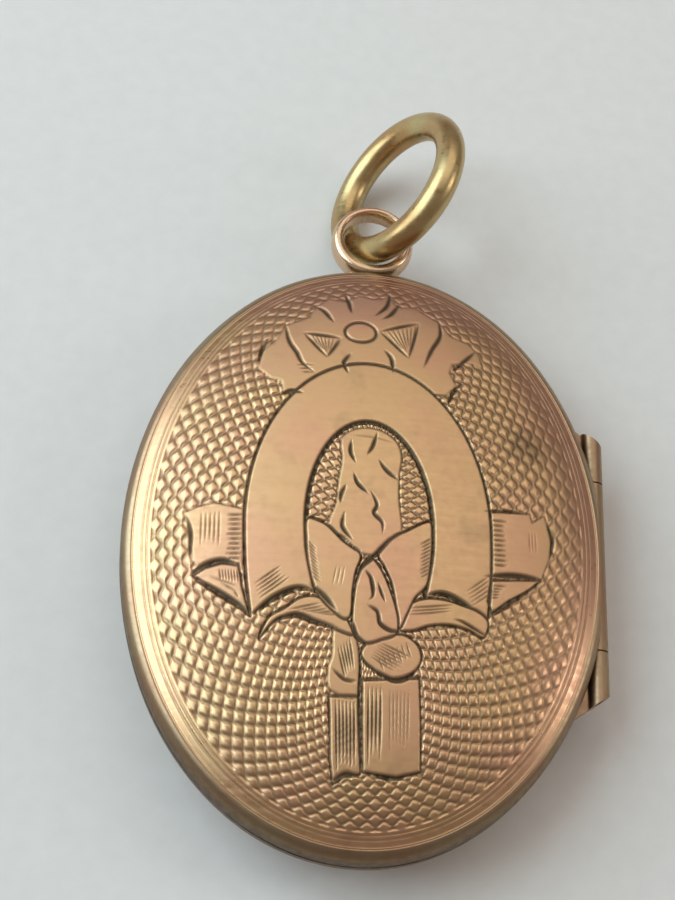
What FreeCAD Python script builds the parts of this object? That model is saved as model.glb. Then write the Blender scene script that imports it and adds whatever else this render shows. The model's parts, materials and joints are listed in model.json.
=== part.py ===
import FreeCAD, Part

import math
import os
import re

import Sketcher
from FreeCAD import Placement, Rotation, Vector

# An oval hinged locket lying on its back. Modelled in millimetres with the parting plane of the
# two halves at z = 0, +Z out of the front cover, +Y towards the bail and +X towards the hinge.
# At the end every sub-part is moved so that the origin is under the middle of the locket.
DIMENSIONS = {
    # case outline and rims
    "case_half_width": 12.6,
    "case_half_length": 16.4,
    "rim_height": 1.3,
    "rim_wall": 1.3,
    "shoulder_radius": 0.58,
    "parting_gap": 0.03,
    # domed covers: the flange sits in a rebate of the rim, the dome is a slice of an ellipsoid
    "cover_inset": 0.6,
    "cover_sheet": 0.3,
    "flange_width": 1.1,
    "dome_inset": 0.7,
    "dome_rise": 2.0,
    "dome_depth": 3.1,
    # picture frames inside each half, as insets from the case outline and heights above parting
    "liner_bottom": 0.62,
    "liner_step": 0.85,
    "liner_ledge_inset": 3.2,
    "frame_seat_inset": 2.35,
    "bezel_inset": 2.4,
    "bezel_wall": 0.3,
    "bezel_lip": 1.0,
    "bezel_bottom": 0.15,
    "stack_inset": 2.75,
    "crystal_bottom": 0.3,
    "crystal_thickness": 0.2,
    "card_thickness": 0.1,
    "backing_thickness": 0.24,
    # lip on the back half that the front half closes over
    "lip_gap": 0.07,
    "lip_wall": 0.28,
    "lip_rise": 0.5,
    # hinge
    "hinge_axis": 12.2,
    "hinge_flat": 12.15,
    "barrel_radius": 0.55,
    "barrel_clearance": 0.08,
    "hinge_half_length": 7.0,
    "middle_half_length": 4.7,
    "knuckle_gap": 0.08,
    "bearer_depth": 2.4,
    "bearer_taper": 1.3,
    "pin_radius": 0.22,
    "pin_clearance": 0.05,
    "pin_setback": 0.5,
    # bail loop, a band of oval section round a hole along Z
    "bail_across": -0.3,
    "bail_centre": 19.0,
    "bail_level": -0.2,
    "band_radius": 2.08,
    "band_half_wall": 0.4,
    "band_half_depth": 0.68,
    "foot_half_width": 1.3,
    "foot_bottom": 1.05,
    # jump ring
    "ring_radius": 4.2,
    "wire_radius": 0.83,
    "ring_across": 1.149,
    "ring_along": 3.248,
    "ring_above": 1.106,
    "ring_yaw": -8.7,
    "ring_tilt": -36.9,
}

FLIPPED = Rotation(Vector(1, 0, 0), 180)
ALONG_Y = Rotation(Vector(1, 0, 0), -90)

doc = FreeCAD.newDocument("locket")
sheet = doc.addObject("Spreadsheet::Sheet", "Dimensions")
for row, (alias, value) in enumerate(DIMENSIONS.items(), start=1):
    sheet.set(f"A{row}", alias)
    sheet.set(f"B{row}", str(value))
    sheet.setAlias(f"B{row}", alias)
doc.recompute()


def size(formula):
    """Turn a formula in aliases into an expression on the Dimensions sheet."""
    return re.sub(r"[a-z_]*_[a-z]+", r"Dimensions.\g<0>", formula)


def new_body(label):
    body = doc.addObject("PartDesign::Body", label)
    body.Label = label
    return body


def bind(thing, sizes):
    for prop, formula in sizes.items():
        thing.setExpression(prop, size(formula))


def new_sketch(body, role, level="0"):
    """A sketch on one of the body's own origin planes, lifted off it by a formula."""
    plane = next(item for item in body.Origin.OriginFeatures if item.Role == role)
    sketch = body.newObject("Sketcher::SketchObject", body.Label + "_outline")
    sketch.AttachmentSupport = (plane, [""])
    sketch.MapMode = "FlatFace"
    sketch.setExpression("AttachmentOffset.Base.z", size(level))
    return sketch


def dimension(sketch, kind, references, start, formula):
    """A sketch dimension bound to the sheet."""
    index = sketch.addConstraint(Sketcher.Constraint(kind, *references, start))
    sketch.setExpression(f"Constraints[{index}]", size(formula))


def draw_oval(sketch, half_x, half_y, centre_x=None, centre_y=None):
    """An ellipse, longer in y, with half axes and centre given as formulas."""
    long_start, short_start = 16.0, 12.0
    start = Vector(0, 0, 0)
    outline = Part.Ellipse(Vector(0, long_start, 0), Vector(short_start, 0, 0), start)
    oval = sketch.addGeometry(outline, False)
    sketch.exposeInternalGeometry(oval)
    long_axis, short_axis = oval + 1, oval + 2
    sketch.addConstraint(Sketcher.Constraint("Vertical", long_axis))
    if centre_x or centre_y:
        dimension(sketch, "DistanceX", (-1, 1, oval, 3), 1.0, centre_x or "0")
        dimension(sketch, "DistanceY", (-1, 1, oval, 3), -1.0, centre_y or "0")
    else:
        sketch.addConstraint(Sketcher.Constraint("Coincident", oval, 3, -1, 1))
    dimension(sketch, "Distance", (long_axis,), 2 * long_start, f"2 * ( {half_y} )")
    dimension(sketch, "Distance", (short_axis,), 2 * short_start, f"2 * ( {half_x} )")


def oval_sketch(body, insets, level):
    """Ovals that run parallel to the case outline, each given by its inset from it."""
    sketch = new_sketch(body, "XY_Plane", level)
    for inset in insets:
        draw_oval(sketch, f"case_half_width - ( {inset} )", f"case_half_length - ( {inset} )")
    return sketch


def pad(body, sketch, height):
    feature = body.newObject("PartDesign::Pad", body.Label + "_pad")
    feature.Profile = sketch
    bind(feature, {"Length": height})
    sketch.Visibility = False
    doc.recompute()
    return feature


def pocket(body, sketch, depth):
    """Cut a sketch upwards out of the body, checking that the cut removes material."""
    before = body.Shape.Volume
    feature = body.newObject("PartDesign::Pocket", body.Label + "_pocket")
    feature.Profile = sketch
    feature.Reversed = True
    bind(feature, {"Length": depth})
    doc.recompute()
    assert body.Shape.Volume < before, f"{feature.Label} removed nothing"
    return feature


def primitive(body, kind, sizes, rotation=Rotation()):
    """Add or cut a PartDesign primitive such as an AdditiveTorus."""
    feature = body.newObject("PartDesign::" + kind, body.Label + "_" + kind.lower())
    feature.Placement = Placement(Vector(0, 0, 0), rotation)
    bind(feature, sizes)
    doc.recompute()
    return feature


def oval_ring(label, insets, bottom, height):
    """A flat oval ring or plate between two levels."""
    body = new_body(label)
    pad(body, oval_sketch(body, insets, bottom), height)
    return body


def cut_along_hinge(body, radius, start, length):
    """Cut a round groove about the hinge axis."""
    sizes = {
        "Radius": radius,
        "Height": length,
        "Placement.Base.x": "hinge_axis",
        "Placement.Base.y": start,
    }
    primitive(body, "SubtractiveCylinder", sizes, ALONG_Y)


def make_cover(label):
    """Domed cover: a thin slice of an ellipsoid on a flat flange."""
    body = new_body(label)
    spread = "sqrt( 1 - ( ( dome_depth - dome_rise ) / dome_depth ) ^ 2 )"
    centre = {"Placement.Base.z": "rim_height + dome_rise - dome_depth"}
    outside = {
        "Radius1": "dome_depth",
        "Radius2": f"( case_half_width - dome_inset ) / {spread}",
        "Radius3": f"( case_half_length - dome_inset ) / {spread}",
    }
    inside = {radius: f"{formula} - cover_sheet" for radius, formula in outside.items()}
    primitive(body, "AdditiveEllipsoid", outside | centre)
    primitive(body, "SubtractiveEllipsoid", inside | centre)
    below = {
        "Length": "4 * case_half_width",
        "Width": "4 * case_half_length",
        "Height": "2 * dome_depth",
        "Placement.Base.x": "-2 * case_half_width",
        "Placement.Base.y": "-2 * case_half_length",
        "Placement.Base.z": "rim_height - 2 * dome_depth",
    }
    primitive(body, "SubtractiveBox", below)
    insets = ("cover_inset", "cover_inset + flange_width")
    pad(body, oval_sketch(body, insets, "rim_height - cover_sheet"), "cover_sheet")
    return body


def make_rim(label, own_knuckles, other_knuckles):
    """Side wall of one half, with a rounded shoulder, a rebate for its cover and hinge grooves."""
    body = new_body(label)
    insets = ("0", "rim_wall")
    wall = pad(body, oval_sketch(body, insets, "parting_gap"), "rim_height - parting_gap")
    longest = max(wall.Shape.Edges, key=lambda edge: (round(edge.CenterOfMass.z, 3), edge.Length))
    name = next(f"Edge{i}" for i, edge in enumerate(wall.Shape.Edges, 1) if edge.isSame(longest))
    shoulder = body.newObject("PartDesign::Fillet", label + "_shoulder")
    shoulder.Base = (wall, [name])
    bind(shoulder, {"Radius": "shoulder_radius"})
    doc.recompute()
    seat = oval_sketch(body, ["cover_inset"], "rim_height - cover_sheet")
    pocket(body, seat, "2 * cover_sheet")
    flat = {
        "Length": "rim_wall",
        "Width": "2 * case_half_length",
        "Height": "2 * rim_height",
        "Placement.Base.x": "hinge_flat",
        "Placement.Base.y": "-case_half_length",
    }
    primitive(body, "SubtractiveBox", flat)
    for start, length in own_knuckles:
        cut_along_hinge(body, "barrel_radius", start, length)
    for start, length in other_knuckles:
        cut_along_hinge(body, "barrel_radius + barrel_clearance", start, length)
    return body


def make_liner(label):
    """Inner frame seat: an oval ring with a step for the picture stack."""
    body = new_body(label)
    insets = ("rim_wall", "liner_ledge_inset")
    height = "rim_height - cover_sheet - liner_bottom"
    pad(body, oval_sketch(body, insets, "liner_bottom"), height)
    step = oval_sketch(body, ["frame_seat_inset"], "liner_bottom")
    pocket(body, step, "liner_step - liner_bottom")
    return body


def make_bezel(label):
    """Push-in picture frame: an oval ring with a lip that holds the crystal."""
    body = new_body(label)
    insets = ("bezel_inset", "bezel_inset + bezel_lip")
    pad(body, oval_sketch(body, insets, "bezel_bottom"), "liner_step - bezel_bottom - 0.01")
    hollow = oval_sketch(body, ["bezel_inset + bezel_wall"], "crystal_bottom")
    pocket(body, hollow, "liner_step - crystal_bottom")
    return body


def make_half(side):
    """Every plain oval piece of one half."""
    card_bottom = "crystal_bottom + crystal_thickness"
    backing_bottom = card_bottom + " + card_thickness"
    pieces = [
        make_cover(side + "_cover"),
        make_liner(side + "_liner"),
        make_bezel(side + "_bezel"),
        oval_ring(side + "_crystal", ["stack_inset"], "crystal_bottom", "crystal_thickness"),
        oval_ring(side + "_picture_card", ["stack_inset"], card_bottom, "card_thickness"),
        oval_ring(side + "_backing_plate", ["stack_inset"], backing_bottom, "backing_thickness"),
    ]
    return pieces


def make_middle_knuckle():
    """The front half's knuckle, a tube round the hinge pin."""
    body = new_body("front_hinge_knuckle")
    sizes = {
        "Radius": "barrel_radius",
        "Height": "2 * middle_half_length",
        "Placement.Base.x": "hinge_axis",
        "Placement.Base.y": "-middle_half_length",
    }
    primitive(body, "AdditiveCylinder", sizes, ALONG_Y)
    cut_along_hinge(body, "pin_radius + pin_clearance", "-hinge_half_length", "2 * hinge_half_length")
    return body


def make_end_knuckle(label, bearer_level):
    """One of the back half's knuckles: a tube and a bearer out to it from the curved wall."""
    body = new_body(label)
    start = "middle_half_length + knuckle_gap"
    length = "hinge_half_length - middle_half_length - knuckle_gap + bearer_taper"
    bearer = {
        "Length": "bearer_depth",
        "Width": length,
        "Height": "barrel_radius - parting_gap",
        "Placement.Base.x": "hinge_axis - bearer_depth",
        "Placement.Base.y": start,
        "Placement.Base.z": bearer_level,
    }
    primitive(body, "AdditiveBox", bearer)
    pocket(body, oval_sketch(body, ["0"], "-rim_height"), "2 * rim_height")
    barrel = {
        "Radius": "barrel_radius",
        "Height": length,
        "Placement.Base.x": "hinge_axis",
        "Placement.Base.y": start,
    }
    primitive(body, "AdditiveCylinder", barrel, ALONG_Y)
    # the slanted end, from the outside of the barrel back to the wall
    slant = new_sketch(body, "XY_Plane", "-barrel_radius * 2")
    near_x, far_x, near_y, far_y = 14.0, 9.0, 7.0, 12.0
    corners = [Vector(near_x, near_y, 0), Vector(near_x, far_y, 0), Vector(far_x, far_y, 0)]
    lines = [
        slant.addGeometry(Part.LineSegment(corners[i], corners[(i + 1) % len(corners)]), False)
        for i in range(len(corners))
    ]
    for i, line in enumerate(lines):
        following = lines[(i + 1) % len(lines)]
        slant.addConstraint(Sketcher.Constraint("Coincident", line, 2, following, 1))
    across, along = "hinge_axis + barrel_radius", "hinge_half_length"
    inner, far = f"{across} - bearer_taper - barrel_radius", f"{along} + bearer_taper"
    dimension(slant, "DistanceX", (-1, 1, lines[0], 1), near_x, across)
    dimension(slant, "DistanceY", (-1, 1, lines[0], 1), near_y, along)
    dimension(slant, "DistanceX", (-1, 1, lines[1], 1), near_x, across)
    dimension(slant, "DistanceY", (-1, 1, lines[1], 1), far_y, far)
    dimension(slant, "DistanceX", (-1, 1, lines[2], 1), far_x, inner)
    dimension(slant, "DistanceY", (-1, 1, lines[2], 1), far_y, far)
    pocket(body, slant, "4 * barrel_radius")
    cut_along_hinge(body, "pin_radius", "0", "3 * hinge_half_length")
    return body


def make_hinge_pin():
    body = new_body("hinge_pin")
    sizes = {
        "Radius": "pin_radius",
        "Height": "2 * ( hinge_half_length - pin_setback )",
        "Placement.Base.x": "hinge_axis",
        "Placement.Base.y": "pin_setback - hinge_half_length",
    }
    primitive(body, "AdditiveCylinder", sizes, ALONG_Y)
    return body


def make_bail():
    """Bail loop about the Z axis of its own hole, on a foot that fits the end of the case."""
    body = new_body("bail_loop")
    foot = {
        "Length": "2 * foot_half_width",
        "Width": "bail_centre - case_half_length + rim_wall - band_radius",
        "Height": "foot_bottom - parting_gap",
        "Placement.Base.x": "-foot_half_width",
        "Placement.Base.y": "case_half_length - rim_wall - bail_centre",
        "Placement.Base.z": "-foot_bottom - bail_level",
    }
    primitive(body, "AdditiveBox", foot)
    case = new_sketch(body, "XY_Plane", "-3 * rim_height")
    draw_oval(case, "case_half_width", "case_half_length", "-bail_across", "-bail_centre")
    pocket(body, case, "6 * rim_height")
    section = new_sketch(body, "XZ_Plane")
    draw_oval(section, "band_half_wall", "band_half_depth", centre_x="band_radius")
    band = body.newObject("PartDesign::Revolution", "bail_band")
    band.Profile = section
    band.ReferenceAxis = (section, ["V_Axis"])
    band.Angle = 360
    doc.recompute()
    return body


def make_jump_ring():
    body = new_body("jump_ring")
    primitive(body, "AdditiveTorus", {"Radius1": "ring_radius", "Radius2": "wire_radius"})
    return body


END_SPAN = "hinge_half_length - middle_half_length + bearer_taper"
MIDDLE = [("-middle_half_length", "2 * middle_half_length")]
MIDDLE_ROOM = [("-middle_half_length - knuckle_gap", "2 * ( middle_half_length + knuckle_gap )")]
ENDS = [
    ("middle_half_length + knuckle_gap", END_SPAN),
    (f"-middle_half_length - knuckle_gap - ( {END_SPAN} )", END_SPAN),
]
ENDS_ROOM = [
    ("middle_half_length", f"{END_SPAN} + 2 * knuckle_gap"),
    (f"-middle_half_length - 2 * knuckle_gap - ( {END_SPAN} )", f"{END_SPAN} + 2 * knuckle_gap"),
]

upright = make_half("front")
upright += [make_rim("front_rim", MIDDLE, ENDS_ROOM), make_middle_knuckle(), make_hinge_pin()]
flipped = make_half("back")
flipped += [make_rim("back_rim", ENDS, MIDDLE_ROOM)]
flipped += [
    oval_ring(
        "closing_lip",
        ["rim_wall + lip_gap", "rim_wall + lip_gap + lip_wall"],
        "-lip_rise",
        "lip_rise + liner_bottom",
    )
]
# both stand on the back half, but only the lower one is turned over with it
lower_knuckle = make_end_knuckle("lower_hinge_knuckle", "parting_gap")
upper_knuckle = make_end_knuckle("upper_hinge_knuckle", "-barrel_radius")
bail = make_bail()
ring = make_jump_ring()

# Placements: the back half is the front half turned over about the X axis. Everything is then
# moved so that the origin is under the middle of the whole locket, ring included.
facing = Rotation(sheet.ring_yaw, -sheet.ring_tilt, 0).multVec(Vector(1, 0, 0))
ring_reach = sheet.ring_radius * math.sqrt(1 - facing.y**2) + sheet.wire_radius
top = sheet.bail_centre + sheet.ring_along + ring_reach
middle_x = (sheet.hinge_axis + sheet.barrel_radius - sheet.case_half_width) / 2
middle_y = (top - sheet.case_half_length) / 2
home = Vector(-middle_x, -middle_y, sheet.rim_height + sheet.dome_rise)
for body in upright + [upper_knuckle]:
    body.Placement = Placement(home, Rotation())
for body in flipped + [lower_knuckle]:
    body.Placement = Placement(home, FLIPPED)
bail_hole = home + Vector(sheet.bail_across, sheet.bail_centre, sheet.bail_level)
bail.Placement = Placement(bail_hole, Rotation())
ring_offset = Vector(sheet.ring_across, sheet.ring_along, sheet.ring_above)
ring.Placement = Placement(bail_hole + ring_offset, Rotation(Vector(0, 0, 1), facing))
doc.recompute()

for item in doc.Objects:
    assert not {"Invalid", "Error"} & set(item.State), f"{item.Label} did not recompute"
sub_parts = upright + flipped + [lower_knuckle, upper_knuckle, bail, ring]
for body in sub_parts:
    shape = body.Shape
    assert not shape.isNull() and shape.isValid(), f"{body.Label} has no valid shape"
    assert len(shape.Solids) == 1, f"{body.Label} is {len(shape.Solids)} solids"

os.makedirs("parts", exist_ok=True)
for body in sub_parts:
    body.Shape.exportStep(f"parts/{body.Label}.step")
    print(f"{body.Label}: {body.Shape.Volume:.2f} mm3")
print(f"parting plane centre: {home.x:.4f} {home.y:.4f} {home.z:.4f}")
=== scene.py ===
import json
import math

import bpy
import numpy as np
from mathutils import Matrix, Vector


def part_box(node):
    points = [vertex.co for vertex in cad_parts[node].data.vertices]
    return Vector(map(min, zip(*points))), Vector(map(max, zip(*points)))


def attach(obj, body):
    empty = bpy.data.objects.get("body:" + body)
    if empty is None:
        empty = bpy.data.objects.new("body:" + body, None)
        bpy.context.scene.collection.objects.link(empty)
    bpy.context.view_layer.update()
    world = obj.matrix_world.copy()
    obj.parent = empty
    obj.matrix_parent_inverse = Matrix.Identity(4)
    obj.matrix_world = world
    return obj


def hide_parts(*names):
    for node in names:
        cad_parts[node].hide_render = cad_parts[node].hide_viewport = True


# An oval engine-turned locket on a pale floor. The CAD frame gives every size and place; lengths
# named *_MM and every engraving point are in millimetres from the middle of the case.
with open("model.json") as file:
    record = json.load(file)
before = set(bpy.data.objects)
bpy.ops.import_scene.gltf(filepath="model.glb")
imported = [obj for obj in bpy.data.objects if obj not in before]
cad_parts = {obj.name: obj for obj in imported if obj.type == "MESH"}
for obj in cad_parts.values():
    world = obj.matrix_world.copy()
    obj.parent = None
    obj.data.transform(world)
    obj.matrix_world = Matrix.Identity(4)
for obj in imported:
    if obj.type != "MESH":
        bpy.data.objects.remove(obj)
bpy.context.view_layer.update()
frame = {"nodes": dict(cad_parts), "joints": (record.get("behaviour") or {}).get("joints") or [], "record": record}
MM = 0.001
joints = {joint["name"]: joint for joint in frame["joints"]}

liner_low, liner_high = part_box("front_liner")
rim_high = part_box("front_rim")[1]
cover_low, cover_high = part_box("front_cover")
PARTING = joints["lid_hinge"]["pos_m"][2]
MIDDLE = Vector(((liner_low.x + liner_high.x) / 2, (liner_low.y + liner_high.y) / 2, PARTING))

# half width and half length of the covers, and the levels of their edge and crown above the parting
COVER_A = (cover_high.x - cover_low.x) / 2 / MM
COVER_B = (cover_high.y - cover_low.y) / 2 / MM
EDGE_Z = (rim_high.z - PARTING) / MM
CROWN_Z = (cover_high.z - PARTING) / MM
SHEET_MM = 0.3
DOME_INSET_MM = 0.1
DOME_DEPTH_MM = 3.1

# engine turning: grains round one turn, a row's width, and in rows the swing of its wave and the half
# widths of its groove and of the groove's slopes; how far the ovals grow in length for each mm of width
GRAINS = 84
ROW_MM = 0.43
GRAIN_WAVE = 0.31
GROOVE_SHARE, SLOPE_SHARE = 0.42, 0.85
GRAIN_DEPTH_MM = 0.078
OVAL_SHRINK = 0.81
FIELD_INSET_MM = 0.93
BORDER_INSETS_MM = (0.50, 0.74)
BORDER_HALF_MM, BORDER_DEPTH_MM = 0.07, 0.04
DESIGN_TILT = math.radians(2.8)

# the depth at which a graver's cut is fully dark, and the middle of the one dark spot
FULL_CUT_MM = 0.075
SPOT = (8.3, 5.2)

# each half of the case: first word of its nodes, its body and which way it faces
HALVES = (("front", "front_half", 1), ("back", "back_half", -1))


# ---------------------------------------------------------------- outlines and grooves
def smooth_line(points, closed=False, steps=6):
    """A Catmull-Rom curve through points."""
    pts = np.array(points, float)
    count = len(pts)
    spans = count if closed else count - 1
    line = []
    for i in range(spans):
        if closed:
            p0, p1, p2, p3 = (pts[(i + k) % count] for k in (-1, 0, 1, 2))
        else:
            p0, p1, p2, p3 = (pts[min(max(i + k, 0), count - 1)] for k in (-1, 0, 1, 2))
        for t in np.arange(steps) / steps:
            a, b = 2 * p1, p2 - p0
            c, d = 2 * p0 - 5 * p1 + 4 * p2 - p3, 3 * p1 - 3 * p2 + p3 - p0
            line.append(0.5 * (a + b * t + c * t**2 + d * t**3))
    line.append(pts[0] if closed else pts[-1])
    return np.array(line)


def inside(u, v, outline):
    """Which points lie inside a closed outline."""
    crossings = np.zeros(u.shape, bool)
    for (u0, v0), (u1, v1) in zip(outline, np.roll(outline, -1, axis=0)):
        if v0 == v1:
            continue
        spans = (v0 > v) != (v1 > v)
        crossings ^= spans & (u < (u1 - u0) * (v - v0) / (v1 - v0) + u0)
    return crossings


class Engraving:
    """Relief on a cover, gathered stroke by stroke over the points of its surface."""

    def __init__(self, u, v):
        self.u, self.v = u, v
        self.depth = np.zeros(u.shape)
        self.plain = np.zeros(u.shape)

    def near(self, line, reach):
        """Indices of the points near a line, and their distance and place along it from 0 to 1."""
        low, high = line.min(0) - reach, line.max(0) + reach
        box = (self.u > low[0]) & (self.u < high[0]) & (self.v > low[1]) & (self.v < high[1])
        where = np.nonzero(box)
        u, v = self.u[where], self.v[where]
        lengths = np.hypot(*np.diff(line, axis=0).T)
        starts = np.concatenate([[0], np.cumsum(lengths)])
        best, place = np.full(u.shape, 1e9), np.zeros(u.shape)
        for (u0, v0), (u1, v1), length, start in zip(line, line[1:], lengths, starts):
            if length == 0:
                continue
            du, dv = (u1 - u0) / length, (v1 - v0) / length
            t = np.clip((u - u0) * du + (v - v0) * dv, 0, length)
            gap = np.hypot(u - u0 - t * du, v - v0 - t * dv)
            closer = gap < best
            best = np.where(closer, gap, best)
            place = np.where(closer, (start + t) / starts[-1], place)
        return where, best, place

    def cut(self, points, width=0.2, depth=0.1, taper=True, curved=True):
        """A graver's cut: a V groove that swells in the middle of its stroke."""
        line = smooth_line(points) if curved else np.array(points, float)
        where, gap, place = self.near(line, width)
        swell = np.sqrt(np.clip(np.sin(math.pi * np.clip(place, 0.02, 0.98)), 0, 1)) if taper else 1.0
        half = width / 2 * swell
        groove = depth * swell * np.clip(1 - gap / half, 0, 1)
        self.depth[where] = np.maximum(self.depth[where], groove)

    def field(self, points, curved=False, edge=0.1, outline=True):
        """A plain area left free of engine turning, with its outline cut."""
        line = smooth_line(points, closed=True) if curved else np.array([*points, points[0]], float)
        self.plain[inside(self.u, self.v, line[:-1])] = 1
        if outline:
            self.cut(line, depth=edge, taper=False, curved=False)

    def hatch(self, corners, count, across=(0, 1), width=0.13, depth=0.06):
        """Fine parallel strokes between two sides of a four-cornered area."""
        a, b, c, d = (np.array(p, float) for p in corners)
        for i in range(count):
            t = (i + 0.5) / count
            wobble = 0.12 * math.sin(2.3 * i)
            start, end = a + (b - a) * t, d + (c - d) * t
            first, last = across[0] + 0.1 * abs(wobble), across[1] - abs(wobble)
            stroke = [start + (end - start) * k for k in (first, last)]
            self.cut(stroke, width, depth, curved=False)


# ---------------------------------------------------------------- the engraved design
# The outlines and strokes are traced, in mm from the middle of the case, and don't follow its size.
SHOE_MIDDLE = -0.22
SHOE_OUTER = (6.27, 9.35)
SHOE_INNER = (3.2, 5.7)
SHOE_LEG_OUTER = [(6.22, -1.6), (6.1, -3.2), (5.85, -5.0)]
SHOE_LEG_INNER = [(3.15, -1.4), (2.95, -2.6), (2.7, -3.75)]
SHOE_SOLE = [(5.85, -5.0), (4.7, -4.1), (3.6, -3.6), (2.7, -3.75)]


def mirrored(points):
    return [(-u, v) for u, v in points]


def arch(half_width, height, leg):
    """A horseshoe line: half an ellipse on two legs, from the left foot over to the right."""
    turn = np.linspace(math.pi, 0, 41)
    top = np.stack([half_width * np.cos(turn), height * np.sin(turn)], -1)
    right = np.array(leg, float)
    left = (right * (-1, 1))[::-1]
    return smooth_line(np.concatenate([left, top, right]), steps=2) + (SHOE_MIDDLE, 0)


def draw_horseshoe(e):
    outer, inner = arch(*SHOE_OUTER, SHOE_LEG_OUTER), arch(*SHOE_INNER, SHOE_LEG_INNER)
    right_sole = smooth_line(SHOE_SOLE) + (SHOE_MIDDLE, 0)
    left_sole = smooth_line(mirrored(SHOE_SOLE)) + (SHOE_MIDDLE, 0)
    outline = np.concatenate([outer, right_sole, inner[::-1], left_sole[::-1]])
    e.plain[inside(e.u, e.v, outline)] = 1
    e.cut(outer, width=0.24, depth=0.12, taper=False, curved=False)
    e.cut(inner, width=0.34, depth=0.15, taper=False, curved=False)
    for sole in (right_sole, left_sole):
        e.cut(sole, width=0.46, depth=0.14, curved=False)
    for foot in (-5.9, 4.6):
        e.hatch([(foot, -3.3), (foot + 0.2, -4.3), (foot + 1.8, -3.1), (foot + 1.2, -2.4)], 5)


def draw_drape(e):
    """The plain knotted leaf that hangs inside the horseshoe, with its wedge cuts."""
    leaf = [(-1.6, 4.7), (-0.8, 5.3), (0.3, 5.3), (1.2, 4.7), (1.5, 3.8), (1.35, 2.7), (1.3, 1.3)]
    leaf += [(1.4, -0.4), (0.9, -0.8), (0.1, -1.7), (-0.7, -1.7), (-1.5, -0.9), (-2.3, -0.3), (-1.9, 1.1)]
    leaf += [(-1.8, 2.2), (-1.6, 3.4)]
    e.field(leaf, curved=True, edge=0.05)
    wedges = [
        [(-1.1, 4.6), (-1.15, 3.9), (-0.9, 3.3)],
        [(0.25, 5.1), (0.0, 4.3), (-0.3, 3.8)],
        [(0.3, 3.5), (0.7, 2.9), (1.3, 2.4)],
        [(-1.0, 2.7), (-0.8, 2.1), (-0.3, 1.6)],
        [(-1.4, 2.0), (-1.65, 1.5), (-1.7, 1.0)],
        [(-0.15, 1.7), (0.15, 1.0), (0.0, 0.5), (0.4, 0.0), (0.4, -0.6)],
        [(-1.5, 0.5), (-1.6, -0.3), (-1.1, -1.0)],
    ]
    for wedge in wedges:
        e.cut(wedge, 0.3, 0.12)
    e.cut([(-1.2, 4.9), (0.2, 4.8), (1.2, 4.5)], 0.12, 0.04)


def draw_leaves(e):
    left = [(-3.35, 0.1), (-2.4, -0.2), (-1.5, -1.1), (-0.7, -1.75), (-0.95, -2.7), (-1.1, -3.7)]
    left += [(-1.2, -4.9), (-1.6, -5.1), (-2.5, -4.3), (-3.0, -3.5), (-3.3, -2.2), (-3.4, -1.1)]
    right = [(2.8, 0.2), (1.6, -0.4), (0.9, -0.8), (0.2, -1.7), (0.5, -2.4), (0.85, -3.3), (1.05, -4.6)]
    right += [(1.2, -5.5), (1.6, -4.7), (2.0, -3.9), (2.6, -3.2), (2.85, -1.9), (2.95, -0.5)]
    low_left = [(-5.6, -6.1), (-5.2, -5.1), (-4.4, -4.6), (-3.7, -4.1), (-2.9, -4.0), (-2.0, -4.5)]
    low_left += [(-1.5, -4.9), (-1.1, -5.9), (-2.2, -5.55), (-3.2, -5.2), (-3.9, -5.0), (-4.8, -5.2)]
    low_right = [(1.2, -5.5), (1.7, -4.3), (2.5, -3.9), (3.5, -3.9), (4.3, -4.1), (5.2, -4.4)]
    low_right += [(5.7, -4.9), (5.4, -5.7), (4.7, -5.4), (3.7, -5.2), (2.7, -5.3), (1.8, -5.6)]
    bud = [(-0.3, -1.9), (-0.85, -2.9), (-1.05, -3.9), (-1.15, -5.2), (-1.0, -6.0), (-0.4, -6.3)]
    bud += [(0.3, -6.1), (1.0, -5.8), (1.15, -5.2), (1.0, -4.3), (0.6, -3.1), (0.2, -2.3)]
    for outline in (low_left, low_right, left, right, bud):
        e.depth[inside(e.u, e.v, smooth_line(outline, closed=True))] = 0
        e.field(outline, curved=True)
    e.cut([(-3.3, 0.1), (-2.4, -0.2), (-1.5, -1.1), (-0.6, -1.8)], 0.26, 0.12)
    e.cut([(1.5, -0.5), (0.8, -0.9), (0.0, -1.8), (-0.7, -2.5), (-0.9, -3.4)], 0.36, 0.14)
    e.cut([(-1.1, -5.2), (-0.9, -6.0), (-0.3, -6.4)], 0.34, 0.14)
    e.cut([(-5.0, -5.35), (-3.9, -4.95), (-2.9, -5.3), (-1.8, -5.6)], 0.4, 0.13)
    e.cut([(-3.2, -3.4), (-2.5, -4.0), (-1.9, -4.7)], 0.4, 0.12)
    e.cut([(5.7, -5.7), (4.4, -5.0), (3.9, -4.9)], 0.2, 0.1)
    e.hatch([(-3.35, -1.0), (-3.15, -3.0), (-2.6, -3.4), (-2.9, -1.5)], 10)
    e.hatch([(2.95, -0.6), (2.8, -2.6), (2.2, -3.0), (2.3, -1.0)], 10)
    e.hatch([(-2.0, -2.4), (-1.4, -2.4), (-1.6, -3.6), (-2.2, -3.4)], 3, depth=0.03)
    e.hatch([(-4.4, -4.7), (-2.6, -4.9), (-1.5, -5.0), (-2.8, -4.3)], 5)
    e.hatch([(1.5, -4.4), (1.5, -4.9), (4.2, -4.5), (3.9, -4.1)], 3)
    e.cut([(-0.5, -2.6), (-0.2, -3.0), (-0.1, -3.8), (-0.3, -4.1)], 0.3, 0.13)
    e.cut([(-0.4, -4.4), (0.1, -4.7), (0.25, -5.3), (0.8, -5.65), (1.4, -5.6)], 0.3, 0.13)
    e.cut([(0.15, -3.2), (0.3, -3.7), (0.5, -4.2)], 0.22, 0.1)


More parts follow.
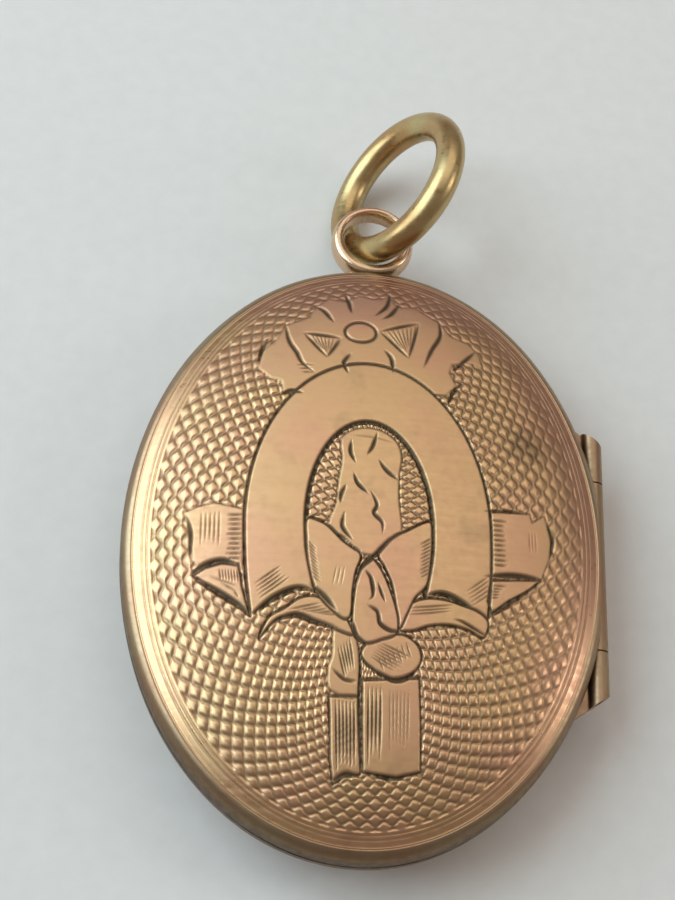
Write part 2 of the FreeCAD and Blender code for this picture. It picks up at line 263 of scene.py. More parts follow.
def draw_ribbons(e):
    left = [(-6.5, 0.6), (-8.0, 1.0), (-8.8, 0.8), (-9.5, 0.5), (-9.1, -0.5), (-9.0, -2.1)]
    left += [(-8.6, -2.7), (-7.9, -2.2), (-6.9, -2.3), (-6.5, -2.7)]
    right = [(6.1, 1.0), (7.1, 1.1), (8.2, 1.2), (8.3, 0.7), (9.0, 1.2), (9.3, -0.1), (9.1, -1.2)]
    right += [(8.6, -2.4), (7.4, -2.4), (5.9, -2.6)]
    fold_left = [(-8.9, -2.9), (-8.3, -2.5), (-7.5, -2.3), (-6.7, -2.4), (-6.5, -3.5), (-6.1, -5.0)]
    fold_left += [(-6.8, -4.4), (-7.8, -3.7), (-8.5, -3.2)]
    fold_right = [(5.9, -2.7), (8.6, -2.4), (7.8, -3.1), (6.8, -3.7), (5.9, -4.4), (5.7, -3.8)]
    for outline in (left, right):
        e.field(outline, edge=0.04)
    for outline in (fold_left, fold_right):
        e.field(outline)
    e.cut([(-9.1, -2.9), (-8.3, -2.4), (-7.4, -2.2), (-6.6, -2.5)], 0.5, 0.14)
    e.cut([(-8.9, -3.0), (-7.8, -3.7), (-6.6, -4.5), (-6.0, -5.0)], 0.46, 0.14)
    e.cut([(5.6, -2.5), (7.0, -2.35), (8.6, -2.35)], 0.4, 0.14)
    e.cut([(8.7, -2.4), (7.4, -3.4), (5.8, -4.6)], 0.26, 0.12)
    e.cut([(9.05, 0.9), (9.35, -0.2), (9.1, -1.3)], 0.36, 0.12)
    e.cut([(-9.4, 0.4), (-9.1, -0.6), (-9.1, -2.0)], 0.3, 0.11)
    e.cut([(5.7, 1.05), (7.0, 1.15), (8.2, 1.15)], 0.24, 0.12)
    e.hatch([(-6.5, 0.4), (-6.5, -2.2), (-7.4, -2.2), (-7.4, 0.4)], 10, depth=0.075)
    e.hatch([(6.0, 0.7), (6.0, -2.0), (6.9, -2.0), (6.9, 0.7)], 10, depth=0.075)
    e.hatch([(-8.7, 0.5), (-7.6, 0.5), (-7.6, -1.5), (-8.7, -1.3)], 5, depth=0.05)
    e.hatch([(8.0, 0.2), (8.5, 0.2), (8.5, -1.2), (8.0, -1.0)], 3, depth=0.03)
    e.hatch([(-7.7, -2.6), (-6.7, -2.7), (-6.6, -3.4), (-7.6, -3.2)], 7, depth=0.07)
    e.hatch([(-8.4, -2.8), (-6.6, -3.9), (-6.6, -4.3), (-6.6, -3.4)], 3)
    e.hatch([(5.9, -2.9), (5.8, -3.7), (6.6, -3.6), (7.4, -2.9)], 5, (0.0, 0.6))


def draw_tails(e):
    knot_left = [(-1.1, -5.4), (-2.0, -5.6), (-2.1, -6.9), (-2.3, -7.6), (-2.2, -8.6), (-1.2, -9.0)]
    knot_left += [(-0.8, -8.6), (-0.8, -7.1), (-0.9, -6.2)]
    knot_right = [(-0.7, -6.7), (-0.3, -6.2), (0.5, -5.9), (1.4, -5.8), (2.1, -6.3), (2.25, -7.0)]
    knot_right += [(1.9, -7.6), (1.2, -7.95), (0.5, -7.95), (-0.2, -7.5), (-0.6, -7.1)]
    tail_left = [(-2.25, -8.9), (-0.8, -8.9), (-0.75, -10.0), (-0.7, -12.5), (-1.4, -12.6)]
    tail_left += [(-2.0, -13.0), (-2.15, -11.9), (-2.2, -10.0)]
    tail_right = [(-0.65, -8.1), (2.15, -7.9), (2.2, -9.9), (2.2, -12.3), (1.2, -12.6), (0.2, -12.5)]
    tail_right += [(-0.6, -12.4), (-0.65, -10.0)]
    e.field(knot_left, curved=True, edge=0.05)
    for outline in (tail_left, tail_right):
        e.field(outline)
    e.field(knot_right, curved=True)
    e.cut([(-0.2, -7.5), (0.8, -8.05), (1.6, -7.9), (2.2, -7.3)], 0.34, 0.14)
    e.cut([(-0.9, -5.9), (-0.75, -7.2), (-0.8, -9.0), (-0.75, -12.4)], 0.26, 0.13)
    e.cut([(-2.1, -12.9), (-1.4, -12.5), (-0.7, -12.6)], 0.34, 0.13)
    e.cut([(-0.4, -12.4), (0.8, -12.65), (2.0, -12.3)], 0.3, 0.13)
    e.hatch([(-2.0, -9.0), (-0.95, -9.0), (-0.9, -12.5), (-1.9, -12.6)], 6, width=0.17, depth=0.11)
    e.hatch([(-0.45, -8.3), (0.35, -8.3), (0.3, -12.1), (-0.45, -12.1)], 4, width=0.17, depth=0.11)
    e.hatch([(0.6, -8.5), (1.7, -8.5), (1.6, -11.8), (0.6, -11.8)], 6, (0.0, 0.9), depth=0.05)
    e.hatch([(0.0, -7.0), (1.6, -6.1), (1.9, -7.0), (0.3, -7.7)], 7, width=0.12, depth=0.06)
    e.hatch([(0.2, -6.2), (-0.3, -7.0), (1.0, -7.8), (1.9, -6.9)], 7, width=0.12, depth=0.06)
    e.hatch([(-1.9, -6.6), (-1.2, -6.0), (-1.0, -7.6), (-1.5, -8.2)], 5, width=0.16, depth=0.08)
    e.cut([(-2.1, -7.6), (-1.5, -8.1), (-0.9, -8.2)], 0.24, 0.1)


def draw_crest(e):
    """The fan of petals above the horseshoe, with its bow and hatched corners."""
    fan = [(-4.6, 7.4), (-4.7, 8.1), (-5.3, 8.3), (-5.9, 8.9), (-5.7, 10.1), (-4.9, 10.9), (-4.5, 11.8)]
    fan += [(-3.2, 12.4), (-2.8, 13.2), (-2.1, 13.8), (-1.2, 13.6), (-0.4, 14.1), (0.4, 13.9), (1.2, 14.1)]
    fan += [(1.7, 13.4), (2.6, 13.5), (3.3, 13.0), (4.0, 12.5), (4.5, 11.7), (5.5, 11.3), (6.0, 10.7)]
    fan += [(6.2, 9.8), (5.4, 10.0), (4.5, 9.8), (4.3, 9.2), (4.6, 8.4), (4.0, 7.7)]
    e.field(fan, edge=0.025)
    outer = arch(*SHOE_OUTER, SHOE_LEG_OUTER)
    e.depth[inside(e.u, e.v, outer)] = 0
    turn = np.linspace(0, 2 * math.pi, 25)
    bow = np.stack([-0.45 + 0.85 * np.cos(turn), 11.45 + 0.68 * np.sin(turn)], -1)
    e.cut(bow, 0.24, 0.11, taper=False, curved=False)
    for wing in ([(-3.5, 11.3), (-1.5, 11.0), (-2.3, 9.7)], [(2.8, 12.4), (0.6, 11.6), (2.1, 9.9)]):
        for start, end in zip(wing, wing[1:] + wing[:1]):
            e.cut([start, end], 0.27, 0.11, curved=False)
        e.hatch([wing[0], wing[1], wing[2], wing[2]], 8, (0.0, 0.8))
    petals = [
        [(-4.5, 12.0), (-4.3, 10.8), (-3.9, 10.0), (-3.6, 9.3), (-3.0, 8.7)],
        [(3.9, 12.9), (3.95, 11.7), (3.4, 10.6), (2.9, 9.4)],
        [(-2.9, 13.2), (-2.4, 12.9), (-1.9, 12.1)],
        [(-1.2, 14.2), (-1.0, 13.5), (-0.9, 12.8)],
        [(1.3, 14.5), (1.1, 13.5), (0.4, 12.7)],
        [(1.8, 13.7), (1.3, 12.9), (0.8, 12.5)],
        [(-5.4, 10.9), (-5.75, 10.1), (-5.9, 9.3)],
        [(-1.0, 10.0), (-1.4, 9.4), (-1.2, 8.7)],
        [(0.8, 10.3), (1.15, 9.8), (1.2, 8.9)],
        [(-4.7, 7.3), (-4.2, 7.5), (-3.6, 7.4)],
        [(5.9, 10.9), (5.0, 9.9), (4.4, 9.3)],
        [(5.0, 8.7), (4.5, 8.1), (4.1, 7.2)],
    ]
    for petal in petals:
        e.cut(petal, 0.32, 0.13)
    e.hatch([(-4.0, 9.3), (-3.6, 8.6), (-3.0, 8.6), (-3.0, 9.3)], 3)


# ---------------------------------------------------------------- cover meshes
def dome_height(t):
    """Height of the dome above its base at a share t of its own half axes."""
    level = DOME_DEPTH_MM - (CROWN_Z - EDGE_Z)
    spread = math.sqrt(1 - (level / DOME_DEPTH_MM) ** 2)
    return DOME_DEPTH_MM * np.sqrt(1 - (np.minimum(t, 1.0) * spread) ** 2) - level


def soft_step(low, high, x):
    t = np.clip((x - low) / (high - low), 0, 1)
    return t * t * (3 - 2 * t)


def oval_through(x, y):
    """Half width of the engine-turned oval through each point, and the turn at which it gets there."""
    longer = COVER_B - OVAL_SHRINK * COVER_A
    half = np.maximum(np.maximum(np.abs(x), (np.abs(y) - longer) / OVAL_SHRINK), 0.05)
    for _ in range(10):
        length = OVAL_SHRINK * half + longer
        across, along = x / half, y / length
        slope = 2 * (across**2 / half + OVAL_SHRINK * along**2 / length)
        half = half + (across**2 + along**2 - 1) / np.maximum(slope, 1e-9)
    return half, np.arctan2(y / (OVAL_SHRINK * half + longer), x / half)


def engine_turning(half, turn):
    """Depth from 0 to 1 of wavy ovals whose waves meet, so that they leave rows of grains."""
    row = (COVER_A - FIELD_INSET_MM - half) / ROW_MM
    depth = np.zeros(half.shape)
    for near in (-1, 0, 1, 2):
        line = np.floor(row) + near
        wave = GRAIN_WAVE * np.cos(GRAINS * turn) * (1 - 2 * (line % 2))
        gap = np.abs(row - line - wave)
        groove = soft_step(0, 1, 1 - gap / GROOVE_SHARE)
        depth = np.maximum(depth, 0.62 * groove + 0.38 * np.clip(1 - gap / SLOPE_SHARE, 0, 1))
    return depth


def cover_surface(share, turn, engraved):
    """Points of a cover's outer face, and for each its groove patina, plainness, cut depth and painted pink
    highlight.
    """
    x, y = COVER_A * share * np.cos(turn), COVER_B * share * np.sin(turn)
    base = np.hypot(x / (COVER_A - DOME_INSET_MM), y / (COVER_B - DOME_INSET_MM))
    height = EDGE_Z + dome_height(base)
    c, s = math.cos(DESIGN_TILT), math.sin(DESIGN_TILT)
    e = Engraving(x * c + y * s, y * c - x * s)
    if engraved:
        draw_crest(e)
        draw_horseshoe(e)
        draw_drape(e)
        draw_ribbons(e)
        draw_tails(e)
        draw_leaves(e)
    half, swing = oval_through(x, y)
    inset = COVER_A - half
    # the grains are rubbed shallow towards the edge at the top and on the hinge side
    rubbed = soft_step(0.72, 0.93, share) * np.clip(0.25 + 0.75 * np.cos(turn - 0.9), 0, 1)
    grain = engine_turning(half, swing) * (1 - 0.6 * rubbed) * soft_step(0, 0.06, inset - FIELD_INSET_MM)
    grain *= 1 - e.plain
    border = sum(np.clip(1 - np.abs(inset - line) / BORDER_HALF_MM, 0, 1) for line in BORDER_INSETS_MM)
    relief = GRAIN_DEPTH_MM * grain + BORDER_DEPTH_MM * border + e.depth
    spot = np.exp(-(np.hypot(e.u - SPOT[0], e.v - SPOT[1]) ** 2)) * (1 - e.plain)
    tarnish_and_shade = np.clip(0.8 * grain + 0.5 * border + 0.25 * rubbed + 0.55 * spot, 0, 1)
    # painted pink highlight: a copper-pink tint at the top and along the hinge side, where the light catches
    hinge_side = soft_step(0.76, 0.97, share) * np.clip(np.cos(turn - 0.2), 0, 1)
    pink_highlight_tint = np.clip(0.9 * soft_step(11.3, 13.8, e.v) + 0.8 * hinge_side, 0, 1)
    cuts = np.clip(e.depth / FULL_CUT_MM, 0, 1)
    layers = {"tarnish_and_shade": tarnish_and_shade, "plain": e.plain, "cuts": cuts, "pink_highlight_tint": pink_highlight_tint}
    return x, y, height - relief, layers


def add_piece(name, points, faces, attributes, place=None):
    """A smooth mesh from points in mm, with one number per point for each attribute."""
    mesh = bpy.data.meshes.new(name)
    mesh.from_pydata((points * MM).tolist(), [], faces)
    for label, values in attributes:
        layer = mesh.attributes.new(label, "FLOAT", "POINT")
        layer.data.foreach_set("value", values.astype(np.float32))
    mesh.shade_smooth()
    mesh.transform(place or Matrix.Translation(MIDDLE))
    piece = bpy.data.objects.new(name, mesh)
    bpy.context.scene.collection.objects.link(piece)
    return piece


def grid_mesh(name, rings, attributes=()):
    """A closed mesh from rings of points; the first and last rings are filled to a point."""
    count, turns, _ = rings.shape
    points = np.concatenate([rings.reshape(-1, 3), rings[[0, -1]].mean(1)])
    i, j = np.meshgrid(np.arange(count - 1), np.arange(turns), indexing="ij")
    k = (j + 1) % turns
    quads = np.stack([i * turns + j, (i + 1) * turns + j, (i + 1) * turns + k, i * turns + k], -1)
    here = np.arange(turns)
    after = (here + 1) % turns
    last_ring = (count - 1) * turns
    start = np.stack([np.full(turns, count * turns), here, after], -1)
    end = np.stack([np.full(turns, count * turns + 1), last_ring + after, last_ring + here], -1)
    faces = [*quads.reshape(-1, 4).tolist(), *start.tolist(), *end.tolist()]
    flat = [(label, np.concatenate([v.reshape(-1), v[[0, -1]].mean(1)])) for label, v in attributes]
    return add_piece(name, points, faces, flat)


# a cover's plain inside: where its flat flange starts and its dome ends, as shares of the half axes
FLANGE_SHARE = 0.92
INNER_DOME_SHARE = 0.93
INNER_GAP_MM = 0.02
EDGE_GAP_MM = 0.01


def make_cover(name, engraved, rows, turns, side):
    """A whole cover as a closed shell: relief outside, flange edge and a plain inside."""
    shares, steps = np.linspace(0.004, 1.0, rows), np.linspace(0, 2 * math.pi, turns, endpoint=False)
    share, turn = np.meshgrid(shares, steps, indexing="ij")
    x, y, z, layers = cover_surface(share, turn, engraved)
    outer = np.stack([x, y, z], -1)
    inner = []
    for k in np.linspace(1.0, 0.01, 16):
        a, b = (COVER_A - EDGE_GAP_MM) * k, (COVER_B - EDGE_GAP_MM) * k
        rise = max(0.0, dome_height(np.float64(k / INNER_DOME_SHARE)) - INNER_GAP_MM)
        level = EDGE_Z - SHEET_MM if k > FLANGE_SHARE else min(EDGE_Z - SHEET_MM + rise, CROWN_Z)
        inner.append(np.stack([a * np.cos(turn[0]), b * np.sin(turn[0]), np.full(turns, level)], -1))
    inner = np.array(inner)
    rings = np.concatenate([outer, inner])
    calm = np.zeros(inner.shape[:2])
    attributes = [(label, np.concatenate([values, calm])) for label, values in layers.items()]
    if side < 0:
        rings = rings * (1, -1, -1)
    return grid_mesh(name, rings, attributes)


# ---------------------------------------------------------------- rims, bail and jump ring
SEAT_MM = 0.6
CASE_A = COVER_A + SEAT_MM
CASE_B = COVER_B + SEAT_MM
SHOULDER_TURN = math.radians(75)
WALL_MM = 1.3
HINGE_X = (joints["lid_hinge"]["pos_m"][0] - MIDDLE.x) / MM
HINGE_FLAT_MM = HINGE_X - 0.05
GROOVE_MM = 0.63
GROOVE_REACH_MM = 9


def sweep_mesh(name, rings, place=None, attributes=()):
    """A closed band: rings of section points, joined round both ways."""
    count, turns, _ = rings.shape
    i, j = np.meshgrid(np.arange(count), np.arange(turns), indexing="ij")
    n, k = (i + 1) % count, (j + 1) % turns
    quads = np.stack([i * turns + j, n * turns + j, n * turns + k, i * turns + k], -1)
    flat = [(label, values.reshape(-1)) for label, values in attributes]
    return add_piece(name, rings.reshape(-1, 3), quads.reshape(-1, 4).tolist(), flat, place)


def rim_section():
    """Section of a rim as (inset, height, shade): wall, rounded shoulder, cover seat, inner wall; the shade is
    painted shade and painted dark reflection, darkest at the parting seam and in the cover seat, dark down the
    wall and fading up the shoulder.
    """
    radius = SEAT_MM / (1 - math.cos(SHOULDER_TURN))
    shoulder = []
    for a in np.linspace(0, SHOULDER_TURN, 12):
        level = EDGE_Z - radius * (math.sin(SHOULDER_TURN) - math.sin(a))
        shoulder.append((radius * (1 - math.cos(a)), level, 0.7 - 0.45 * a))
    wall = [(0.06, 0.03, 1.0), (0.015, 0.05, 1.0), (0.0, 0.1, 0.9), (0.0, 0.3, 0.75)]
    seat = [(SEAT_MM + 0.005, EDGE_Z - 0.015, 0.9), (SEAT_MM + 0.005, EDGE_Z - SHEET_MM, 0.9)]
    seat += [(WALL_MM - 0.02, EDGE_Z - SHEET_MM, 0.5)]
    inner = [(WALL_MM, EDGE_Z - 0.32, 0.3), (WALL_MM, 0.06, 0.3), (WALL_MM - 0.03, 0.03, 0.3)]
    return wall + shoulder + seat + inner


def make_rim(name, side):
    """A side wall, cleared round the hinge barrel, with the faint waviness of old, dented sheet."""
    turn = np.linspace(0, 2 * math.pi, 720, endpoint=False)
    rings, tarnish_and_shade = [], []
    for inset, level, wall_shade in rim_section():
        dents = 0.008 * np.sin(5 * turn + 3 * level) + 0.006 * np.sin(11 * turn - 2 * level)
        dents = (dents - 0.014) * (inset < SEAT_MM / 2)
        x = (CASE_A - inset + dents) * np.cos(turn)
        y = (CASE_B - inset + dents) * np.sin(turn)
        z = np.full(turn.shape, level)
        x = np.minimum(x, HINGE_FLAT_MM)
        reach = np.hypot(x - HINGE_X, z)
        short = (reach < GROOVE_MM) & (np.abs(y) < GROOVE_REACH_MM)
        scale = np.where(short, GROOVE_MM / np.maximum(reach, 1e-6), 1.0)
        x, z = HINGE_X + (x - HINGE_X) * scale, z * scale
        rings.append(np.stack([x, y, z], -1))
        # painted shade and painted dark reflection: each section point's shade, made darker along the lower end of
        # the case
        tarnish_and_shade.append(np.clip(wall_shade + 0.2 * np.clip(-np.sin(turn), 0, 1), 0, 1))
    rings = np.array(rings)
    if side < 0:
        rings = rings * (1, -1, -1)
    return sweep_mesh(name, rings, attributes=[("tarnish_and_shade", np.array(tarnish_and_shade))])


RING_RADIUS_MM = 4.2
WIRE_RADIUS_MM = 0.83


def make_jump_ring():
    """Round wire ring, a little flattened where it rubs."""
    mount = next(m for m in frame["record"]["mounts"] if m["name"] == "chain_eye")
    normal = Vector(mount["axis"]).normalized()
    turn = np.linspace(0, 2 * math.pi, 240, endpoint=False)
    round_wire = np.linspace(0, 2 * math.pi, 48, endpoint=False)
    p, q = np.meshgrid(round_wire, turn, indexing="ij")
    wire = WIRE_RADIUS_MM * (1 - 0.012 * (1 + np.sin(3 * q + 0.6)) * (0.6 + 0.4 * np.cos(p)))
    out = RING_RADIUS_MM + wire * np.cos(p)
    rings = np.stack([out * np.cos(q), out * np.sin(q), wire * np.sin(p)], -1)
    turned = Vector((0, 0, 1)).rotation_difference(normal).to_matrix().to_4x4()
    return sweep_mesh("jump_ring_wire", rings, Matrix.Translation(Vector(mount["pos_m"])) @ turned)


BAIL_HOLE_MM = 1.68
FOOT_DROP_MM = 0.53
CARD_GAP_MM = 0.015
CARD_TRIM_MM = 0.04


def make_bail():
    """Bail band, thin over the top and stouter towards the case, round the hole's axis."""
    turn = np.linspace(0, 2 * math.pi, 180, endpoint=False)
    section = np.linspace(0, 2 * math.pi, 36, endpoint=False)
    p, q = np.meshgrid(section, turn, indexing="ij")
    stout = 0.5 - 0.5 * np.sin(q)
    half_wall = 0.27 + 0.13 * stout
    half_depth = 0.62 + 0.05 * stout
    radial = np.sign(np.cos(p)) * np.abs(np.cos(p)) ** 0.8
    out = BAIL_HOLE_MM + half_wall + half_wall * radial
    z = half_depth * np.sign(np.sin(p)) * np.abs(np.sin(p)) ** 0.9
    rings = np.stack([out * np.cos(q), out * np.sin(q), z], -1)
    return sweep_mesh("bail_band", rings, Matrix.Translation(Vector(joints["ring_swing"]["pos_m"])))


def make_bail_foot():
    """Solder foot that spreads from the bail onto the back rim."""
    turn = np.linspace(0, 2 * math.pi, 72, endpoint=False)
    hole = (Vector(joints["ring_swing"]["pos_m"]) - MIDDLE) / MM
    rings = []
    for share in np.linspace(0, 1, 14):
        half_x = 1.3 + 0.5 * (1 - share) ** 2
        half_z = 0.42 + 0.06 * (1 - share)
        x = half_x * np.cos(turn)
        wall = CASE_B * np.sqrt(1 - ((x + hole.x) / CASE_A) ** 2) - 0.05
        top = hole.y - np.sqrt(np.maximum((BAIL_HOLE_MM + 0.2) ** 2 - (0.95 * x) ** 2, 0.4))
        y, z = wall + (top - wall) * share, half_z * np.sin(turn) - FOOT_DROP_MM
        rings.append(np.stack([x + hole.x, y, z], -1))
    return grid_mesh("bail_foot", np.array(rings)[::-1])


def make_card(name, side):
    """An oval picture card behind its crystal, cut by hand and a little buckled."""
    low, high = (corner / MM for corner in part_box("front_picture_card"))
    half_a, half_b = (high.x - low.x) / 2 - CARD_TRIM_MM, (high.y - low.y) / 2 - CARD_TRIM_MM
    face, back = low.z - PARTING / MM + CARD_GAP_MM, high.z - PARTING / MM - CARD_GAP_MM
    turn = np.linspace(0, 2 * math.pi, 144, endpoint=False)
    rings = []
    for level, shares in ((face, np.linspace(0.02, 1, 24)), (back, np.linspace(1, 0.02, 24))):
        for share in shares:
            edge = share * (1 - 0.004 * (1 + np.sin(7 * turn + side)) * share)
            buckle = 0.006 * share * np.sin(2 * turn + 5 * share + side)
            x, y = half_a * edge * np.cos(turn), half_b * edge * np.sin(turn)
            rings.append(np.stack([x, y, level + buckle], -1))
    rings = np.array(rings)
    return grid_mesh(name, rings * (1, -1, -1) if side < 0 else rings)


# ---------------------------------------------------------------- materials
class Nodes:
    """A material's node tree, with short calls for the nodes used here."""

    def __init__(self, name):
        self.material = bpy.data.materials.new(name)
        self.material.use_nodes = True
        self.tree = self.material.node_tree
        self.shader = self.tree.nodes["Principled BSDF"]
        self.place = self.tree.nodes.new("ShaderNodeTexCoord").outputs["Object"]

    def link(self, source, target):
        self.tree.links.new(source, target)

    def stretched(self, scale):
        node = self.tree.nodes.new("ShaderNodeMapping")
        node.inputs["Scale"].default_value = scale
        self.link(self.place, node.inputs["Vector"])
        return node.outputs["Vector"]

    def noise(self, scale, detail=4.0, vector=None, rough=0.55):
        node = self.tree.nodes.new("ShaderNodeTexNoise")
        node.inputs["Scale"].default_value = scale
        node.inputs["Detail"].default_value = detail
        node.inputs["Roughness"].default_value = rough
        self.link(vector or self.place, node.inputs["Vector"])
        return node.outputs["Fac"]

    def span(self, value, low, high, to_low=0.0, to_high=1.0):
        node = self.tree.nodes.new("ShaderNodeMapRange")
        ends = {"From Min": low, "From Max": high, "To Min": to_low, "To Max": to_high}
        for socket, number in ends.items():
            node.inputs[socket].default_value = number
        self.link(value, node.inputs["Value"])
        return node.outputs["Result"]

    def blend(self, factor, first, second):
        node = self.tree.nodes.new("ShaderNodeMix")
        node.data_type = "RGBA"
        self.link(factor, node.inputs["Factor"])
        for socket, colour in (("A", first), ("B", second)):
            target = next(s for s in node.inputs if s.name == socket and s.type == "RGBA")
            if isinstance(colour, tuple):
                target.default_value = (*colour, 1.0)
            else:
                self.link(colour, target)
        return next(s for s in node.outputs if s.type == "RGBA")

    def maths(self, kind, first, second):
        node = self.tree.nodes.new("ShaderNodeMath")
        node.operation = kind
        self.link(first, node.inputs[0])
        if isinstance(second, float):
            node.inputs[1].default_value = second
        else:
            self.link(second, node.inputs[1])
        return node.outputs[0]

    def attribute(self, name):
        node = self.tree.nodes.new("ShaderNodeAttribute")
        node.attribute_name = name
        return node.outputs["Fac"]

    def bump(self, height, strength, distance):
        node = self.tree.nodes.new("ShaderNodeBump")
        node.inputs["Strength"].default_value = strength
        node.inputs["Distance"].default_value = distance
        self.link(height, node.inputs["Height"])
        self.link(node.outputs["Normal"], self.shader.inputs["Normal"])

    def set(self, **values):
        for name, value in values.items():
            socket = self.shader.inputs[name.replace("_", " ")]
            if isinstance(value, (float, tuple)):
                socket.default_value = value
            else:
                self.link(value, socket)


# the colour of the painted pink highlight
PINK_HIGHLIGHT_COLOUR = (0.60, 0.34, 0.25)
CUT_COLOUR = (0.06, 0.048, 0.03)


def gold(name, base, rosy, dark, polish=(0.2, 0.36), with_tarnish_and_shade=False, crust_and_shade=(0.5, 0.95)):
    """Worn gold with clouds and fine rubs; the layer option adds crusted grooves, a painted pink highlight tint
    and dark cuts, and on the rim its darkening is painted shade and painted dark reflection.
    """
    n = Nodes(name)
    clouds = n.span(n.noise(230.0, 3.0), 0.4, 0.66)
    colour = n.blend(clouds, base, rosy)
    stains = n.span(n.noise(330.0, 3.0, rough=0.6), 0.58, 0.82, 0.0, 0.5)
    colour = n.blend(stains, colour, dark)
    grime = n.noise(2600.0, 3.0)
    rub = n.noise(1.0, 3.0, n.stretched((500.0, 4200.0, 900.0)), 0.6)
    rough = n.span(n.maths("ADD", rub, grime), 0.7, 1.3, *polish)
    if with_tarnish_and_shade:
        # the groove layer holds patina in the cover's grooves, and on the rim painted shade and painted dark
        # reflection
        groove, cuts = n.attribute("tarnish_and_shade"), n.attribute("cuts")
        amount = n.maths("MULTIPLY", groove, n.span(grime, 0.3, 0.7, *crust_and_shade))
        # painted pink highlight: the copper-pink tint at the top and along the hinge side
        colour = n.blend(n.maths("MULTIPLY", n.attribute("pink_highlight_tint"), 0.8), colour, PINK_HIGHLIGHT_COLOUR)
        colour = n.blend(amount, colour, tuple(0.34 * c for c in dark))
        colour = n.blend(n.maths("MULTIPLY", cuts, 0.88), colour, CUT_COLOUR)
        rough = n.maths("ADD", rough, n.maths("MULTIPLY", n.maths("ADD", groove, cuts), 0.16))
        rough = n.maths("ADD", rough, n.maths("MULTIPLY", n.attribute("plain"), 0.16))
    n.set(Metallic=1.0, Base_Color=colour, Roughness=rough)
    n.bump(n.maths("ADD", rub, n.noise(700.0, 3.0)), 0.07, 0.00003)
    return n.material


def glass(name):
    """Thin clear crystal with faint smears."""
    n = Nodes(name)
    smears = n.noise(300.0, 4.0)
    n.set(Base_Color=(0.95, 0.97, 0.96, 1.0), Roughness=n.span(smears, 0.4, 0.7, 0.02, 0.12))
    n.set(IOR=1.5, Alpha=0.16)
    return n.material


def card(name):
    """Aged blank card: foxing spots, fibres and a darker, handled tone in patches."""
    n = Nodes(name)
    colour = n.blend(n.span(n.noise(220.0, 5.0), 0.35, 0.7), (0.72, 0.64, 0.48), (0.58, 0.47, 0.31))
    spots = n.span(n.noise(1400.0, 3.0), 0.68, 0.76, 0.0, 0.6)
    colour = n.blend(spots, colour, (0.34, 0.22, 0.12))
    fibres = n.noise(1.0, 4.0, n.stretched((9000.0, 1800.0, 4000.0)))
    n.set(Base_Color=colour, Roughness=n.span(fibres, 0.3, 0.7, 0.75, 0.95))
    n.bump(fibres, 0.3, 0.00003)
    return n.material


def paint(piece, material):
    piece.data.materials.clear()
    piece.data.materials.append(material)


CASE_COLOURS = ((0.66, 0.43, 0.23), (0.67, 0.395, 0.24), (0.30, 0.20, 0.12))
case_gold = gold("case_gold", *CASE_COLOURS, polish=(0.24, 0.4), with_tarnish_and_shade=True)
# the rim gold is a darker copy of the case gold, painted dark reflection and painted shade, and its darkening
# layer is made strong
RIM_SHADED_COLOURS = ((0.50, 0.37, 0.23), (0.50, 0.31, 0.19), (0.18, 0.10, 0.05))
rim_gold_painted_shade = gold("rim_gold_painted_shade", *RIM_SHADED_COLOURS, polish=(0.26, 0.4), with_tarnish_and_shade=True, crust_and_shade=(0.85, 1.0))
# the hinge gold is a darker copy of the case gold: painted shade
HINGE_SHADED_COLOURS = ((0.36, 0.26, 0.16), (0.34, 0.21, 0.13), (0.14, 0.08, 0.04))
hinge_gold_painted_shade = gold("hinge_gold_painted_shade", *HINGE_SHADED_COLOURS, polish=(0.34, 0.5))
inner_gold = gold("inner_gold", (0.80, 0.58, 0.28), (0.78, 0.52, 0.28), (0.45, 0.30, 0.14), (0.1, 0.24))
bail_gold = gold("bail_gold", (0.72, 0.53, 0.35), (0.70, 0.44, 0.31), (0.34, 0.24, 0.16), (0.2, 0.34))
ring_brass = gold("ring_brass", (0.56, 0.45, 0.23), (0.50, 0.30, 0.13), (0.22, 0.11, 0.045), (0.24, 0.4))

# ---------------------------------------------------------------- the pieces
front_cover = make_cover("front_cover_plate", True, 280, 1008, 1)
paint(front_cover, case_gold)
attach(front_cover, "front_half")
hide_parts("front_cover")

back_cover = make_cover("back_cover_plate", False, 230, 756, -1)
paint(back_cover, case_gold)
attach(back_cover, "back_half")
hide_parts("back_cover")

for half_name, body, side in HALVES:
    rim_name = half_name + "_rim"
    rim = make_rim(rim_name + "_wall", side)
    paint(rim, rim_gold_painted_shade)
    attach(rim, body)
    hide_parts(rim_name)

aged_card = card("picture_card")
for half_name, body, side in HALVES:
    card_name = half_name + "_picture_card"
    sheet = make_card(card_name + "_sheet", side)
    paint(sheet, aged_card)
    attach(sheet, body)
    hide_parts(card_name)

jump_ring = make_jump_ring()
paint(jump_ring, ring_brass)
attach(jump_ring, "jump_ring")
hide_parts("jump_ring")

bail = make_bail()
foot = make_bail_foot()
for piece in (bail, foot):
    paint(piece, bail_gold)
    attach(piece, "back_half")
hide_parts("bail_loop")

finishes = {"crystal": glass("crystal_glass"), "card": aged_card, "knuckle": hinge_gold_painted_shade}
for node_name, node in frame["nodes"].items():
    found = [material for word, material in finishes.items() if word in node_name]
    paint(node, found[0] if found else inner_gold)


# ---------------------------------------------------------------- floor, lights and camera
def make_floor():
    bpy.ops.mesh.primitive_grid_add(x_subdivisions=8, y_subdivisions=8, size=1.2, location=(0, 0, 0))
    floor = bpy.context.object
    floor.name = "floor"
    n = Nodes("pale_floor")
    colour = n.blend(n.noise(900.0, 5.0), (0.70, 0.69, 0.67), (0.78, 0.77, 0.75))
    n.set(Base_Color=colour, Roughness=0.9)
    paint(floor, n.material)


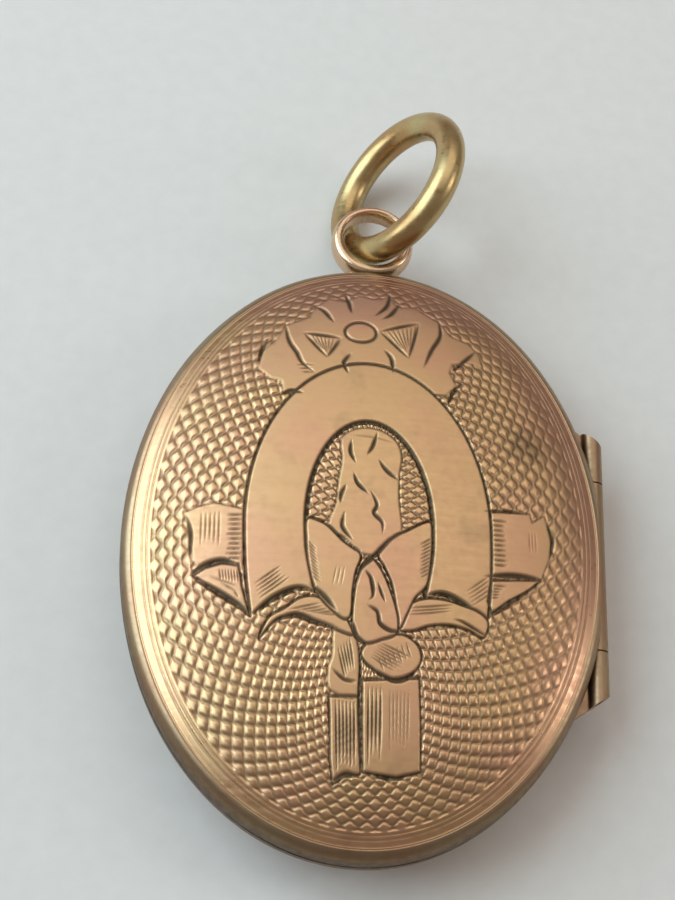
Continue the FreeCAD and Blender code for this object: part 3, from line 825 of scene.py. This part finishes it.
def add_light(name, place_mm, size_mm, power, colour):
    lamp = bpy.data.lights.new(name, "AREA")
    lamp.shape = "RECTANGLE"
    lamp.size, lamp.size_y = size_mm[0] * MM, size_mm[1] * MM
    lamp.energy, lamp.color = power, colour
    light = bpy.data.objects.new(name, lamp)
    bpy.context.scene.collection.objects.link(light)
    light.location = MIDDLE + Vector(place_mm) * MM
    light.rotation_euler = (MIDDLE - light.location).to_track_quat("-Z", "Y").to_euler()


make_floor()
add_light("window", (-230, 70, 190), (300, 300), 0.97, (0.74, 0.92, 1.0))
add_light("overhead", (60, 160, 330), (340, 300), 0.31, (1.0, 0.95, 0.87))
add_light("glint", (260, 10, 150), (60, 120), 0.09, (1.0, 0.97, 0.92))
world = bpy.data.worlds.new("studio")
world.use_nodes = True
world.node_tree.nodes["Background"].inputs["Color"].default_value = (0.66, 0.57, 0.51, 1.0)
world.node_tree.nodes["Background"].inputs["Strength"].default_value = 0.4
bpy.context.scene.world = world
bpy.context.scene.view_settings.view_transform = "Standard"


CAMERA_ANGLES = (-11.4, 62.9, 2.9)
CAMERA_AIM_MM = (-1.84, 4.80)
CAMERA_REACH_MM = 80


def add_camera():
    """The camera leans over the locket from its lower end, a little to the left."""
    azimuth, elevation, roll = (math.radians(angle) for angle in CAMERA_ANGLES)
    level = math.cos(elevation)
    back = Vector((math.sin(azimuth) * level, -math.cos(azimuth) * level, math.sin(elevation)))
    right = Vector((0, 1, 0)).cross(back).normalized()
    up = back.cross(right)
    turned_right = math.cos(roll) * right + math.sin(roll) * up
    turned_up = math.cos(roll) * up - math.sin(roll) * right
    aim = MIDDLE + Vector((*CAMERA_AIM_MM, EDGE_Z)) * MM
    data = bpy.data.cameras.new("camera")
    data.lens, data.clip_start = 61.0, 0.002
    camera = bpy.data.objects.new("camera", data)
    bpy.context.scene.collection.objects.link(camera)
    turn = Matrix((turned_right, turned_up, back)).transposed()
    camera.matrix_world = Matrix.Translation(aim + back * CAMERA_REACH_MM * MM) @ turn.to_4x4()
    bpy.context.scene.camera = camera


add_camera()
